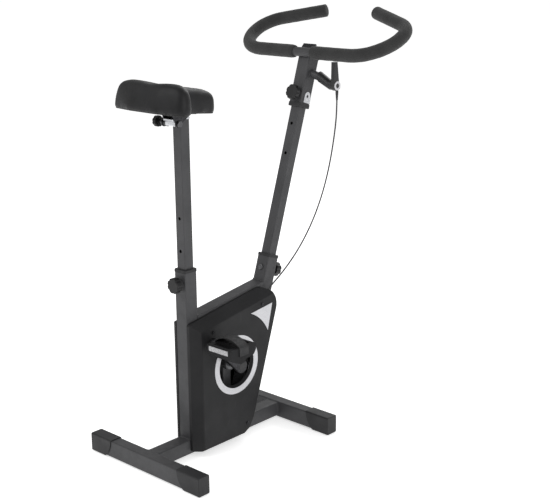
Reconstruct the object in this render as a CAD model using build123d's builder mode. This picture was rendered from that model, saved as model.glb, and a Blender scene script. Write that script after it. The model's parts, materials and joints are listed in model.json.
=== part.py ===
from build123d import *
import os
from math import cos, pi, radians, sin, tan

os.makedirs("parts", exist_ok=True)

# Exercise bike, millimetres.  +X points the way the rider faces, +Y to the rider's left, +Z up.
# The origin is on the floor, at the middle of the bike's length and width.

# ---------------------------------------------------------------- driving dimensions
outer_size = 40.0  # square tube of the frame, the rear post and the stem
inner_size = 30.0  # square tube that slides inside it
wall = 1.8
tube_corner = 3.0
slide_gap = 0.3  # running clearance of a sliding tube in its plastic collar

base_bottom = 8.0
base_top = base_bottom + outer_size
side_y = outer_size / 2  # side faces of the frame tubes

bar_length = 408.0  # stabiliser tube
bar_depth = 33.0
bar_bottom = 4.0
bar_top = 50.0
rear_bar_x = -401.0
front_bar_x = 84.0
cap_length = 80.0
cap_sweep = 34.0  # how much shorter an end cap is below than above
cap_grow = 2.2  # how far an end cap stands proud of its tube
cap_end = 3.0
pad_height = bar_bottom - cap_grow

post_x = -251.0  # rear post and seat post
post_top = 502.0
collar_lip = 8.0
seat_post_bottom = 300.0
seat_post_top = 892.0
hole_pitch = 85.0
seat_pin_z = 472.0
pin_radius = 4.0

front_tilt = 18.0  # lean of the down tube, front post and stem
front_foot_x = -83.7  # where the down tube's axis meets the base tube
sleeve_top = 450.0  # distances along the leaning axis from here on
clamp_bolt_s = 419.0
front_post_start = 330.0
front_post_end = 914.0
stem_pin_s = 900.0
stem_hole_pitch = 82.0
stem_start = 868.0
stem_end = 1000.0

top_tube_slope = 8.4
top_tube_rear_z = 361.6  # axis height at the rear post's front face

crank_x = -126.0
crank_z = 225.0
crank_length = 128.7
crank_angle = 135.6  # right crank, from +X towards +Z
crank_inner = 60.0
crank_thick = 14.0
crank_outer = crank_inner + crank_thick
crank_axle_radius = 8.5
shell_half = 30.0  # half the width of the bottom bracket shell
pedal_axle_radius = 5.0
pedal_width = 86.0
pedal_length = 90.0
pedal_inner = 84.0

flywheel_x = -161.0
flywheel_z = 98.0
flywheel_radius = 68.0
flywheel_axle_radius = 6.0
bearing_gap = 0.05
pulley_inner = 33.0
pulley_width = 12.0
drive_radius = 73.0
driven_radius = 16.0
belt_gap = 0.3
belt_thick = 3.0
belt_width = 8.0
flange_rise = 4.0

cover_half = 52.0  # outer face of each cover, from the middle of the bike
cover_inner = side_y + 0.3
cover_wall = 2.5
cover_bottom = 17.0
opening_radius = 56.0
ring_outer = 80.5
ring_inner = 64.0
trim_thick = 0.8

bar_x = 204.5  # middle of the handlebar
bar_z = 1018.0
bar_tilt = 25.3
bar_radius = 12.5
grip_radius = 17.9
grip_start = 29.0
bar_half = 257.0
bar_reach = 150.0

seat_tilt = 6.6
seat_z = 911.5  # underside of the cushion above the post's axis
seat_bolt_x = -277.0
seat_bolt_z = 884.0

knob_radius = 20.5
boss_radius = 11.0  # welded boss that guides a spring pin
boss_height = 6.0
pull_gap = 0.6  # between a boss and its pull knob

lever_x = 218.4
lever_z = 934.0


# ---------------------------------------------------------------- planes and shapes used often
def along(axis_x, axis_z, degrees_from_up):
    """Plane whose normal leans forward from +Z, with its own x forward and y to the left."""
    lean = radians(degrees_from_up)
    return Plane(
        origin=(axis_x, 0, axis_z),
        x_dir=(cos(lean), 0, -sin(lean)),
        z_dir=(sin(lean), 0, cos(lean)),
    )


front_axis = along(front_foot_x, base_top, front_tilt)
seat_plane = along(post_x, seat_z, seat_tilt)
bar_plane = along(bar_x, bar_z, -bar_tilt)


def on_front(across, up_axis, left=0.0):
    """A point given across and along the leaning front axis."""
    return front_axis.from_local_coords((across, left, up_axis))


def facing(point, direction):
    """Plane at a point, with its normal along a direction and its own x to the left."""
    return Plane(origin=point, x_dir=(0, 1, 0), z_dir=direction)


def right_side(distance, x=0.0, z=0.0):
    """Vertical plane on the rider's right, facing outwards, with its own x forward and y up."""
    return Plane(origin=(x, -distance, z), x_dir=(1, 0, 0), z_dir=(0, -1, 0))


forward_of_front = front_axis.x_dir
rear_of_front = Vector(0, 0, 0) - front_axis.x_dir


def square_tube(plane, size, length, thickness=wall, corner=tube_corner):
    """Square tube that starts on a plane and runs along its normal."""
    with BuildPart() as tube:
        with BuildSketch(plane):
            RectangleRounded(size, size, corner)
            RectangleRounded(size - 2 * thickness, size - 2 * thickness, corner - 1, mode=Mode.SUBTRACT)
        extrude(amount=length)
    return tube.part


def collar(plane, lip_height, insert_depth, tube_end=0.0):
    """Plastic collar on a tube's end: a lip outside, an insert inside, and a square way through.
    The plane is the end of the tube and faces away from it.  tube_end is how far the lip
    reaches back over the outside of the tube."""
    grow = 1.0 if tube_end == 0 else 1.5
    with BuildPart() as body:
        with BuildSketch(plane.offset(-tube_end)):
            RectangleRounded(outer_size + 2 * grow, outer_size + 2 * grow, tube_corner + grow)
        extrude(amount=lip_height + tube_end)
        if tube_end > 0:
            with BuildSketch(plane.offset(-tube_end)):
                RectangleRounded(outer_size, outer_size, tube_corner)
            extrude(amount=tube_end, mode=Mode.SUBTRACT)
        with BuildSketch(plane.offset(-insert_depth)):
            RectangleRounded(outer_size - 2 * wall, outer_size - 2 * wall, tube_corner - 1)
        extrude(amount=insert_depth)
        way = inner_size + 2 * slide_gap
        with BuildSketch(plane.offset(-insert_depth)):
            RectangleRounded(way, way, tube_corner)
        extrude(amount=insert_depth + lip_height, mode=Mode.SUBTRACT)
        chamfer(body.faces().sort_by(Axis(plane.origin, plane.z_dir))[-1].outer_wire().edges(), length=1.2)
    return body.part


def turned(x, z, points):
    """Solid of revolution about a crosswise axis; the points are (radius, y)."""
    with BuildPart() as body:
        with BuildSketch(Plane.XY.offset(z)):
            with BuildLine():
                Polyline(*[(x + radius, y) for radius, y in points], close=True)
            make_face()
        revolve(axis=Axis((x, 0, z), (0, 1, 0)))
    return body.part


def knob(plane, radius, length, stem_radius):
    """Round hand knob with finger scallops and a crowned end, standing on its skirt."""
    scallops = 8
    with BuildPart() as body:
        with BuildSketch(plane):
            Circle(stem_radius)
        extrude(amount=length * 0.4)
        with BuildSketch(plane.offset(length * 0.22)):
            Circle(radius)
            with PolarLocations(radius * 1.24, scallops):
                Circle(radius * 0.32, mode=Mode.SUBTRACT)
        extrude(amount=length * 0.78)
        top = body.faces().sort_by(Axis(plane.origin, plane.z_dir))[-1]
        fillet(top.edges(), radius=radius * 0.15)
    return body.part


def save(name, sub_part):
    sub_part.label = name
    export_step(sub_part, "parts/" + name + ".step")


# ---------------------------------------------------------------- floor frame
with BuildPart() as base_tube:
    rear_end = rear_bar_x + bar_depth / 2
    front_end = front_bar_x - bar_depth / 2
    start = Plane(origin=(rear_end, 0, (base_bottom + base_top) / 2), x_dir=(0, 1, 0), z_dir=(1, 0, 0))
    add(square_tube(start, outer_size, front_end - rear_end))
save("base_tube", base_tube.part)

with BuildPart() as stabilisers:
    bar_height = bar_top - bar_bottom
    for bar_centre in (rear_bar_x, front_bar_x):
        end = Plane(
            origin=(bar_centre, bar_length / 2, (bar_top + bar_bottom) / 2),
            x_dir=(1, 0, 0),
            z_dir=(0, -1, 0),
        )
        with BuildSketch(end):
            RectangleRounded(bar_depth, bar_height, tube_corner)
            RectangleRounded(bar_depth - 2 * wall, bar_height - 2 * wall, tube_corner - 1, mode=Mode.SUBTRACT)
        extrude(amount=bar_length)
save("stabilisers", stabilisers.part)


def end_cap(bar_centre):
    """Cap over a stabiliser's end: longer above than below, with a foot pad under it."""
    height = bar_top - bar_bottom
    middle_z = (bar_top + bar_bottom) / 2
    outside = Plane(
        origin=(bar_centre, -bar_length / 2 - cap_end, middle_z),
        x_dir=(-1, 0, 0),
        z_dir=(0, 1, 0),
    )
    end_y = -bar_length / 2 - cap_end
    with BuildPart() as cap:
        with BuildSketch(outside):
            RectangleRounded(bar_depth + 2 * cap_grow, height + 2 * cap_grow, tube_corner + 1)
        extrude(amount=cap_length + cap_end)
        fillet(cap.faces().sort_by(Axis.Y)[0].edges(), radius=2.0)
        # The inner edge sweeps back from the top towards the foot.
        with BuildSketch(Plane(origin=(bar_centre, 0, 0), x_dir=(0, 1, 0), z_dir=(1, 0, 0))):
            with BuildLine():
                inner = end_y + cap_end + cap_length
                low = inner - cap_sweep
                above = bar_top + 5
                below = bar_bottom - 5
                ThreePointArc((inner - 4, bar_top - 6), (inner - 10, middle_z - 4), (low, below))
                Line((low, below), (inner + 5, below))
                Line((inner + 5, below), (inner + 5, above))
                Line((inner + 5, above), (inner - 1, above))
                Line((inner - 1, above), (inner - 4, bar_top - 6))
            make_face()
        extrude(amount=bar_depth, both=True, mode=Mode.SUBTRACT)
        with BuildSketch(outside.offset(cap_end)):
            RectangleRounded(bar_depth, height, tube_corner)
        extrude(amount=cap_length * 2, mode=Mode.SUBTRACT)
        with BuildSketch(Plane(origin=(bar_centre, end_y + 15, 0))):
            RectangleRounded(bar_depth * 0.8, 20, 4)
        extrude(amount=pad_height + 0.3)
    return cap.part


with BuildPart() as end_caps:
    for bar_centre in (rear_bar_x, front_bar_x):
        right_cap = end_cap(bar_centre)
        add(right_cap)
        mirror(right_cap, about=Plane.XZ)
save("end_caps", end_caps.part)

with BuildPart() as rear_post:
    foot = Plane(origin=(post_x, 0, base_top))
    add(square_tube(foot, outer_size, post_top - base_top))
    rear_face = facing((post_x - outer_size / 2, 0, seat_pin_z), (-1, 0, 0))
    with BuildSketch(rear_face):
        Circle(boss_radius)
    extrude(amount=boss_height)
    with BuildSketch(rear_face.offset(boss_height)):
        Circle(pin_radius + 0.1)
    extrude(amount=-(boss_height + wall + 1), mode=Mode.SUBTRACT)
save("rear_post", rear_post.part)

bolt_plane = facing(on_front(0, clamp_bolt_s), forward_of_front)
bolt_reach = 18.0  # how far the clamp bolt stands out in front of the tube

with BuildPart() as down_tube:
    add(square_tube(front_axis.offset(-15), outer_size, sleeve_top + 15))
    split(bisect_by=Plane.XY.offset(base_top), keep=Keep.TOP)
    with BuildSketch(bolt_plane):
        Circle(pin_radius + 0.2)
    extrude(amount=outer_size, both=True, mode=Mode.SUBTRACT)
save("down_tube", down_tube.part)

top_tube_start = along(post_x + side_y, top_tube_rear_z, 90 - top_tube_slope)
with BuildPart() as top_tube:
    add(square_tube(top_tube_start.offset(-10), outer_size, 300))
    split(bisect_by=Plane(origin=(post_x + side_y, 0, 0), z_dir=(1, 0, 0)), keep=Keep.TOP)
    split(bisect_by=Plane(origin=on_front(-side_y, 0), z_dir=rear_of_front), keep=Keep.TOP)
save("top_tube", top_tube.part)

# ---------------------------------------------------------------- crank and flywheel supports
shell_radius = 20.0
shell_bore = 17.0
with BuildPart() as crank_post:
    add(square_tube(Plane(origin=(crank_x, 0, base_top)), inner_size, crank_z - base_top))
    with BuildSketch(right_side(0, crank_x, crank_z)):
        Circle(shell_radius)
    extrude(amount=inner_size, both=True, mode=Mode.SUBTRACT)
save("crank_post", crank_post.part)

with BuildPart() as bottom_bracket:
    with BuildSketch(right_side(0, crank_x, crank_z)):
        Circle(shell_radius)
        Circle(shell_bore, mode=Mode.SUBTRACT)
    extrude(amount=shell_half, both=True)
save("bottom_bracket", bottom_bracket.part)

housing_half = 22.0
housing_radius = 17.0
housing_bore = 13.0
with BuildPart() as flywheel_bracket:
    with BuildSketch(right_side(0, flywheel_x, flywheel_z)):
        Circle(housing_radius)
        Circle(housing_bore, mode=Mode.SUBTRACT)
    extrude(amount=housing_half, both=True)
    with BuildSketch(right_side(0)):
        with BuildLine():
            crank_post_rear = crank_x - inner_size / 2
            Polyline(
                (flywheel_x - 26, base_top),
                (crank_post_rear, base_top),
                (crank_post_rear, flywheel_z + 20),
                (flywheel_x, flywheel_z + housing_radius - 1),
                (flywheel_x - housing_radius + 1, flywheel_z),
                close=True,
            )
        make_face()
        with Locations((flywheel_x, flywheel_z)):
            Circle(housing_radius - 1, mode=Mode.SUBTRACT)
    extrude(amount=4, both=True)
save("flywheel_bracket", flywheel_bracket.part)

with BuildPart() as bearings:
    crank_bearing_width = 12.0
    wheel_bearing_width = 8.0
    for side in (-1, 1):
        inside = side * (shell_half - crank_bearing_width)
        outside = side * shell_half
        bore = crank_axle_radius + bearing_gap
        ring = [(bore, inside), (shell_bore, inside), (shell_bore, outside), (bore, outside)]
        add(turned(crank_x, crank_z, ring))
        inside = side * (housing_half - wheel_bearing_width)
        outside = side * housing_half
        bore = flywheel_axle_radius + bearing_gap
        ring = [(bore, inside), (housing_bore, inside), (housing_bore, outside), (bore, outside)]
        add(turned(flywheel_x, flywheel_z, ring))
save("bearings", bearings.part)

with BuildPart() as tube_collars:
    add(collar(Plane(origin=(post_x, 0, post_top)), collar_lip, 20))
    add(collar(front_axis.offset(sleeve_top), collar_lip, 20))
save("tube_collars", tube_collars.part)

with BuildPart() as front_post:
    add(square_tube(front_axis.offset(front_post_start), inner_size, front_post_end - front_post_start))
    with BuildSketch(bolt_plane):
        Circle(pin_radius + 0.2)
    extrude(amount=outer_size, both=True, mode=Mode.SUBTRACT)
    for step in range(3):
        pin_hole = facing(on_front(0, stem_pin_s - step * stem_hole_pitch), rear_of_front)
        with BuildSketch(pin_hole):
            Circle(pin_radius + 0.5)
        extrude(amount=outer_size, mode=Mode.SUBTRACT)
save("front_post", front_post.part)

with BuildPart() as clamp_bolt:
    with BuildSketch(bolt_plane.offset(-side_y - 4)):
        Circle(8)
    extrude(amount=4)
    fillet(clamp_bolt.faces().sort_by(Axis(bolt_plane.origin, bolt_plane.z_dir))[0].edges(), radius=2.5)
    with BuildSketch(bolt_plane.offset(-side_y - 2)):
        Circle(pin_radius)
    extrude(amount=2 * side_y + 2 + bolt_reach)
save("clamp_bolt", clamp_bolt.part)


# ---------------------------------------------------------------- covers
def front_edge_x(z):
    """Front face of the down tube, a little forward of it."""
    return front_foot_x + (z - base_top) * tan(radians(front_tilt)) + side_y / cos(radians(front_tilt)) + 0.8


cover_top_slope = 0.16
cover_rear_x = post_x - side_y


def cover_top_z(x):
    return 367.2 + (x - cover_rear_x) * cover_top_slope


corner_x = 59.0
corner_z = cover_top_z(corner_x)
cover_outline = [
    (cover_rear_x, cover_bottom),
    (-98.0, cover_bottom),
    (-76.0, 28.0),
    (front_edge_x(54.0), 54.0),
    (front_edge_x(corner_z), corner_z),
    (cover_rear_x, cover_top_z(cover_rear_x)),
]
cover_radii = [3, 8, 8, 12, 50, 6]
bevel = 0.9  # sideways lean of the bevels along the rear and the top
rear_flat = 8.0  # how far out each bevel starts
top_flat = 6.0
outer_rounding = 6.0


def cover_block(inset):
    """Cover as a solid, with every wall moved inwards by inset."""
    rear_normal = Vector(-1, -bevel, 0).normalized()
    top_normal = Vector(-cover_top_slope, -bevel, 1).normalized()
    rear_point = Vector(cover_rear_x, -cover_inner - rear_flat, 0) - rear_normal * inset
    top_point = Vector(cover_rear_x, -cover_inner - top_flat, cover_top_z(cover_rear_x)) - top_normal * inset
    with BuildPart() as block:
        with BuildSketch(right_side(cover_inner)):
            with BuildLine():
                FilletPolyline(*cover_outline, radius=cover_radii, close=True)
            make_face()
            if inset > 0:
                offset(amount=-inset, kind=Kind.INTERSECTION, mode=Mode.REPLACE)
        extrude(amount=cover_half - cover_inner - inset)
        split(bisect_by=Plane(origin=rear_point, z_dir=rear_normal), keep=Keep.BOTTOM)
        split(bisect_by=Plane(origin=top_point, z_dir=top_normal), keep=Keep.BOTTOM)
        outer_face = block.faces().sort_by(Axis.Y)[0]
        fillet(outer_face.edges(), radius=outer_rounding - inset)
    return block.part


screw_spots = [(-208.0, 337.0), (-24.0, 368.0), (-88.0, 46.0)]
screw_shank = 2.2
funnel_depth = 7.0
cable_outside = (65.9, -34.4, 426.2)
cable_inside = (26.0, -29.5, 398.2)
with BuildPart() as cover_right:
    add(cover_block(0))
    add(cover_block(cover_wall), mode=Mode.SUBTRACT)
    # A funnel leads into the crank opening.
    with BuildSketch(right_side(cover_half - funnel_depth, crank_x, crank_z)):
        Circle(ring_inner + 1)
    extrude(amount=funnel_depth)
    with BuildSketch(right_side(cover_half, crank_x, crank_z)):
        Circle(ring_inner - 1)
    extrude(amount=-20, taper=35, mode=Mode.SUBTRACT)
    with BuildSketch(right_side(cover_inner, crank_x, crank_z)):
        Circle(opening_radius)
    extrude(amount=cover_half, mode=Mode.SUBTRACT)
    # The cable runs in beside the down tube.
    entry_run = Vector(*cable_inside) - Vector(*cable_outside)
    with BuildSketch(Plane(origin=cable_outside, z_dir=entry_run)):
        Circle(6)
    extrude(amount=entry_run.length + 14, mode=Mode.SUBTRACT)
    with BuildSketch(right_side(cover_half)):
        with Locations(*screw_spots):
            Circle(screw_shank)
    extrude(amount=-10, mode=Mode.SUBTRACT)
save("cover_right", cover_right.part)

with BuildPart() as cover_left:
    add(mirror(cover_right.part, about=Plane.XZ))
save("cover_left", cover_left.part)

with BuildPart() as cover_trims:
    badge = [(-69.0, 353.6), (14.0, 364.6), (-4.5, 291.0)]
    with BuildSketch(right_side(cover_half)):
        with Locations((crank_x, crank_z)):
            Circle(ring_outer)
            Circle(ring_inner, mode=Mode.SUBTRACT)
        with BuildLine():
            Line(badge[0], badge[1])
            Line(badge[1], badge[2])
            ThreePointArc(badge[2], (-27.0, 324.0), badge[0])
        make_face()
    extrude(amount=trim_thick)
    mirror(about=Plane.XZ)
save("cover_trims", cover_trims.part)

with BuildPart() as cover_screws:
    for spot_x, spot_z in screw_spots:
        with BuildSketch(right_side(cover_half - 4, spot_x, spot_z)):
            Circle(screw_shank)
        extrude(amount=4)
        with BuildSketch(right_side(cover_half, spot_x, spot_z)):
            Circle(4.5)
        extrude(amount=2)
        with BuildSketch(right_side(cover_half + 2, spot_x, spot_z)):
            Rectangle(5.5, 1.1)
            Rectangle(1.1, 5.5)
        extrude(amount=-1, mode=Mode.SUBTRACT)
    mirror(about=Plane.XZ)
save("cover_screws", cover_screws.part)

# ---------------------------------------------------------------- crank, pedals and drive
with BuildPart() as crank_axle:
    with BuildSketch(right_side(0, crank_x, crank_z)):
        Circle(crank_axle_radius)
    extrude(amount=crank_outer - 4, both=True)
    chamfer(crank_axle.edges().filter_by(GeomType.CIRCLE), length=0.6)
save("crank_axle", crank_axle.part)


def pedal_place(angle):
    """Centre of a pedal, as (x, z), for a crank at an angle."""
    turn = radians(angle)
    return crank_x + crank_length * cos(turn), crank_z + crank_length * sin(turn)


def crank_arm(angle):
    pedal_x, pedal_z = pedal_place(angle)
    pocket = 4.0
    with BuildPart() as arm:
        with BuildSketch(right_side(crank_inner)):
            with Locations((crank_x, crank_z)):
                Circle(18)
            with Locations((pedal_x, pedal_z)):
                Circle(13)
            make_hull()
        extrude(amount=crank_thick)
        fillet(arm.faces().sort_by(Axis.Y)[0].edges(), radius=3)
        fillet(arm.faces().sort_by(Axis.Y)[-1].edges(), radius=2)
        with BuildSketch(right_side(crank_inner)):
            with Locations((crank_x, crank_z)):
                Circle(crank_axle_radius)
            with Locations((pedal_x, pedal_z)):
                Circle(pedal_axle_radius)
        extrude(amount=crank_thick, mode=Mode.SUBTRACT)
        with BuildSketch(right_side(crank_outer, crank_x, crank_z)):
            Circle(12)
        extrude(amount=-pocket, mode=Mode.SUBTRACT)
    return arm.part


with BuildPart() as crank_right:
    add(crank_arm(crank_angle))
save("crank_right", crank_right.part)

with BuildPart() as crank_left:
    add(mirror(crank_arm(crank_angle + 180), about=Plane.XZ))
save("crank_left", crank_left.part)

with BuildPart() as crank_caps:
    with BuildSketch(right_side(crank_outer - 4, crank_x, crank_z)):
        Circle(12)
    extrude(amount=4.6)
    fillet(crank_caps.faces().sort_by(Axis.Y)[0].edges(), radius=1.2)
    mirror(about=Plane.XZ)
save("crank_caps", crank_caps.part)


def pedal_axle(angle):
    pedal_x, pedal_z = pedal_place(angle)
    with BuildPart() as axle:
        with BuildSketch(right_side(crank_inner + 1, pedal_x, pedal_z)):
            Circle(pedal_axle_radius)
        extrude(amount=pedal_inner + pedal_width - 12 - crank_inner - 1)
        with BuildSketch(right_side(crank_outer, pedal_x, pedal_z)):
            RegularPolygon(8.5, 6)
        extrude(amount=5)
    return axle.part


with BuildPart() as pedal_axles:
    add(pedal_axle(crank_angle))
    add(mirror(pedal_axle(crank_angle + 180), about=Plane.XZ))
save("pedal_axles", pedal_axles.part)

pedal_top = 14.0
pedal_keel = 30.0


def pedal_body(angle):
    """Pedal with a keel that keeps its foot plate uppermost, and two slots through it."""
    pedal_x, pedal_z = pedal_place(angle)
    half = pedal_length / 2
    with BuildPart() as body:
        with BuildSketch(right_side(pedal_inner, pedal_x, pedal_z)):
            with BuildLine():
                Polyline(
                    (-half, pedal_top),
                    (-half, -8),
                    (-half + 4, -16),
                    (-9, -pedal_keel),
                    (3, -pedal_keel + 4),
                    (8, -20),
                    (half - 8, -14),
                    (half, -2),
                    (half, pedal_top),
                    close=True,
                )
            make_face()
        extrude(amount=pedal_width)
        fillet(body.edges().filter_by(Axis.Y), radius=2.5)
        slot_plane = Plane(origin=(pedal_x, -pedal_inner - pedal_width / 2, pedal_z + pedal_top))
        with BuildSketch(slot_plane):
            with Locations((-25, 0), (25, 0)):
                RectangleRounded(22, pedal_width - 26, 5)
        extrude(amount=-2 * pedal_keel, mode=Mode.SUBTRACT)
        tread_rows = 5
        with BuildSketch(slot_plane):
            with GridLocations(0, (pedal_width - 12) / tread_rows, 1, tread_rows):
                Rectangle(16, 3)
        extrude(amount=-1.5, mode=Mode.SUBTRACT)
        with BuildSketch(right_side(pedal_inner, pedal_x, pedal_z)):
            Circle(pedal_axle_radius + bearing_gap)
        extrude(amount=pedal_width - 10, mode=Mode.SUBTRACT)
    return body.part


def pedal_strap(angle):
    """Toe strap: an arched band fixed to the pedal's two ends."""
    pedal_x, pedal_z = pedal_place(angle)
    thick = 2.4
    band = 32.0
    rise = 15.0
    near = -pedal_inner + 0.2
    far = -pedal_inner - pedal_width - 0.2
    middle = (near + far) / 2
    with BuildPart() as strap:
        with BuildSketch(Plane(origin=(pedal_x - band / 2, 0, pedal_z), x_dir=(0, 1, 0), z_dir=(1, 0, 0))):
            with BuildLine():
                Line((near + thick, -8), (near + thick, pedal_top))
                ThreePointArc(
                    (near + thick, pedal_top), (middle, pedal_top + rise + thick), (far - thick, pedal_top)
                )
                Line((far - thick, pedal_top), (far - thick, -8))
                Line((far - thick, -8), (far, -8))
                Line((far, -8), (far, pedal_top))
                ThreePointArc((far, pedal_top), (middle, pedal_top + rise), (near, pedal_top))
                Line((near, pedal_top), (near, -8))
                Line((near, -8), (near + thick, -8))
            make_face()
        extrude(amount=band)
        # Clear of the axle where the band comes down beside it.
        with BuildSketch(right_side(pedal_inner - thick - 2, pedal_x, pedal_z)):
            Rectangle(24, 24)
        extrude(amount=thick + 2, mode=Mode.SUBTRACT)
    return strap.part


def pedal_reflectors(angle):
    pedal_x, pedal_z = pedal_place(angle)
    with BuildPart() as strips:
        for end in (-1, 1):
            face_x = pedal_x + end * pedal_length / 2
            face = Plane(
                origin=(face_x, -pedal_inner - pedal_width / 2 + 1, pedal_z + 5),
                x_dir=(0, 1, 0),
                z_dir=(end, 0, 0),
            )
            with BuildSketch(face):
                RectangleRounded(67, 12.5, 1.5)
            extrude(amount=1.6)
    return strips.part


with BuildPart() as pedal_right:
    add(pedal_body(crank_angle))
save("pedal_right", pedal_right.part)

with BuildPart() as pedal_left:
    add(mirror(pedal_body(crank_angle + 180), about=Plane.XZ))
save("pedal_left", pedal_left.part)

with BuildPart() as strap_right:
    add(pedal_strap(crank_angle))
save("strap_right", strap_right.part)

with BuildPart() as strap_left:
    add(mirror(pedal_strap(crank_angle + 180), about=Plane.XZ))
save("strap_left", strap_left.part)

with BuildPart() as reflectors_right:
    add(pedal_reflectors(crank_angle))
save("reflectors_right", reflectors_right.part)

with BuildPart() as reflectors_left:
    add(mirror(pedal_reflectors(crank_angle + 180), about=Plane.XZ))
save("reflectors_left", reflectors_left.part)


def pulley_profile(groove, hub, bore, hub_start):
    """Half section of a flat-belt pulley between two flanges, as (radius, y)."""
    start = pulley_inner
    end = pulley_inner + pulley_width
    edge = (pulley_width - belt_width - 0.8) / 2
    return [
        (bore, hub_start),
        (hub, hub_start),
        (hub, start),
        (groove + flange_rise, start),
        (groove + flange_rise, start + edge),
        (groove, start + edge),
        (groove, end - edge),
        (groove + flange_rise, end - edge),
        (groove + flange_rise, end),
        (bore, end),
    ]


with BuildPart() as drive_pulley:
    drive_hub = 20.0
    add(turned(crank_x, crank_z, pulley_profile(drive_radius, drive_hub, crank_axle_radius, shell_half + 1)))
    # The web is thinner than the rim, with round windows.
    web_middle = (drive_hub + drive_radius - 7) / 2
    with BuildSketch(Plane(origin=(crank_x, pulley_inner + 4, crank_z), x_dir=(1, 0, 0), z_dir=(0, 1, 0))):
        Circle(drive_radius - 7)
        Circle(drive_hub, mode=Mode.SUBTRACT)
    extrude(amount=pulley_width, mode=Mode.SUBTRACT)
    with BuildSketch(Plane(origin=(crank_x, pulley_inner, crank_z), x_dir=(1, 0, 0), z_dir=(0, 1, 0))):
        with PolarLocations(web_middle, 6):
            Circle(13)
    extrude(amount=4, mode=Mode.SUBTRACT)
save("drive_pulley", drive_pulley.part)

with BuildPart() as flywheel_pulley:
    profile = pulley_profile(driven_radius, 12, flywheel_axle_radius, housing_half + 2)
    add(turned(flywheel_x, flywheel_z, profile))
save("flywheel_pulley", flywheel_pulley.part)

with BuildPart() as drive_belt:
    belt_side = Plane(
        origin=(0, pulley_inner + (pulley_width + belt_width) / 2, 0), x_dir=(1, 0, 0), z_dir=(0, -1, 0)
    )
    for extra, kind in ((belt_gap + belt_thick, Mode.ADD), (belt_gap, Mode.SUBTRACT)):
        with BuildSketch(belt_side):
            with Locations((crank_x, crank_z)):
                Circle(drive_radius + extra)
            with Locations((flywheel_x, flywheel_z)):
                Circle(driven_radius + extra)
            make_hull()
        extrude(amount=belt_width, mode=kind)
save("drive_belt", drive_belt.part)

with BuildPart() as flywheel:
    hub_radius = 15.0
    hub_end = -46.0
    rim_depth = 18.0
    web_outer = flywheel_radius - rim_depth
    inner_face = -26.0
    outer_face = -44.0
    web_inner_face = -31.0
    web_outer_face = -39.0
    section = [
        (flywheel_axle_radius, -housing_half - 2),
        (hub_radius, -housing_half - 2),
        (hub_radius, web_inner_face),
        (web_outer, web_inner_face),
        (web_outer, inner_face),
        (flywheel_radius, inner_face),
        (flywheel_radius, outer_face),
        (web_outer, outer_face),
        (web_outer, web_outer_face),
        (hub_radius, web_outer_face),
        (hub_radius, hub_end),
        (flywheel_axle_radius, hub_end),
    ]
    add(turned(flywheel_x, flywheel_z, section))
    rim_edges = flywheel.edges().filter_by(GeomType.CIRCLE).filter_by(lambda e: e.radius > flywheel_radius - 0.1)
    chamfer(rim_edges, length=1.5)
save("flywheel", flywheel.part)

with BuildPart() as flywheel_axle:
    left_end = 48.0
    right_end = 49.0
    with BuildSketch(right_side(-left_end, flywheel_x, flywheel_z)):
        Circle(flywheel_axle_radius)
    extrude(amount=left_end + right_end)
save("flywheel_axle", flywheel_axle.part)

# ---------------------------------------------------------------- brake on the flywheel
brake_x = -52.0
brake_z = 152.0
brake_y = 33.0
brake_plate = 5.0
hook_x = -76.0
hook_z = 156.0
pad_angle = radians(6.0)
pad_gap = 3.1
pad_thick = 7.0
pad_inner = 28.0
pad_width = 14.0
pad_half_height = 15.0
pad_spread = radians(12)
pad_reach = flywheel_radius + pad_gap + pad_thick
pad_back_x = flywheel_x + pad_reach * cos(pad_angle)
pad_back_z = flywheel_z + pad_reach * sin(pad_angle)

with BuildPart() as brake_pivot:
    with BuildSketch(right_side(side_y, brake_x, brake_z)):
        Circle(7)
    extrude(amount=brake_y - side_y - 0.4)
    with BuildSketch(right_side(side_y, brake_x, brake_z)):
        Circle(pin_radius)
    extrude(amount=brake_y - side_y + brake_plate + 3)
    with BuildSketch(right_side(brake_y + brake_plate + 0.4, brake_x, brake_z)):
        Circle(7)
    extrude(amount=2.6)
save("brake_pivot", brake_pivot.part)

with BuildPart() as brake_arm:
    with BuildSketch(right_side(brake_y)):
        with Locations((brake_x, brake_z)):
            Circle(9)
        with Locations((hook_x, hook_z)):
            Circle(5)
        make_hull()
    extrude(amount=brake_plate)
    with BuildSketch(right_side(brake_y)):
        with Locations((brake_x, brake_z)):
            Circle(9)
        with Locations((pad_back_x + 5.2, pad_back_z)):
            Circle(5)
        make_hull()
    extrude(amount=brake_plate)
    with BuildSketch(right_side(brake_y)):
        with Locations((brake_x, brake_z)):
            Circle(pin_radius + bearing_gap)
        with Locations((hook_x, hook_z)):
            Circle(2.2)
    extrude(amount=brake_plate, mode=Mode.SUBTRACT)
save("brake_arm", brake_arm.part)

with BuildPart() as brake_pad:
    with BuildSketch(right_side(pad_inner)):
        with BuildLine():
            reach = flywheel_radius + pad_gap
            arc_points = []
            for turn in (pad_angle - pad_spread, pad_angle, pad_angle + pad_spread):
                arc_points.append((flywheel_x + reach * cos(turn), flywheel_z + reach * sin(turn)))
            back_low = (pad_back_x + 0.1, pad_back_z - pad_half_height)
            back_high = (pad_back_x + 0.1, pad_back_z + pad_half_height)
            ThreePointArc(arc_points[0], arc_points[1], arc_points[2])
            Line(arc_points[2], back_high)
            Line(back_high, back_low)
            Line(back_low, arc_points[0])
        make_face()
    extrude(amount=pad_width)
save("brake_pad", brake_pad.part)

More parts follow.
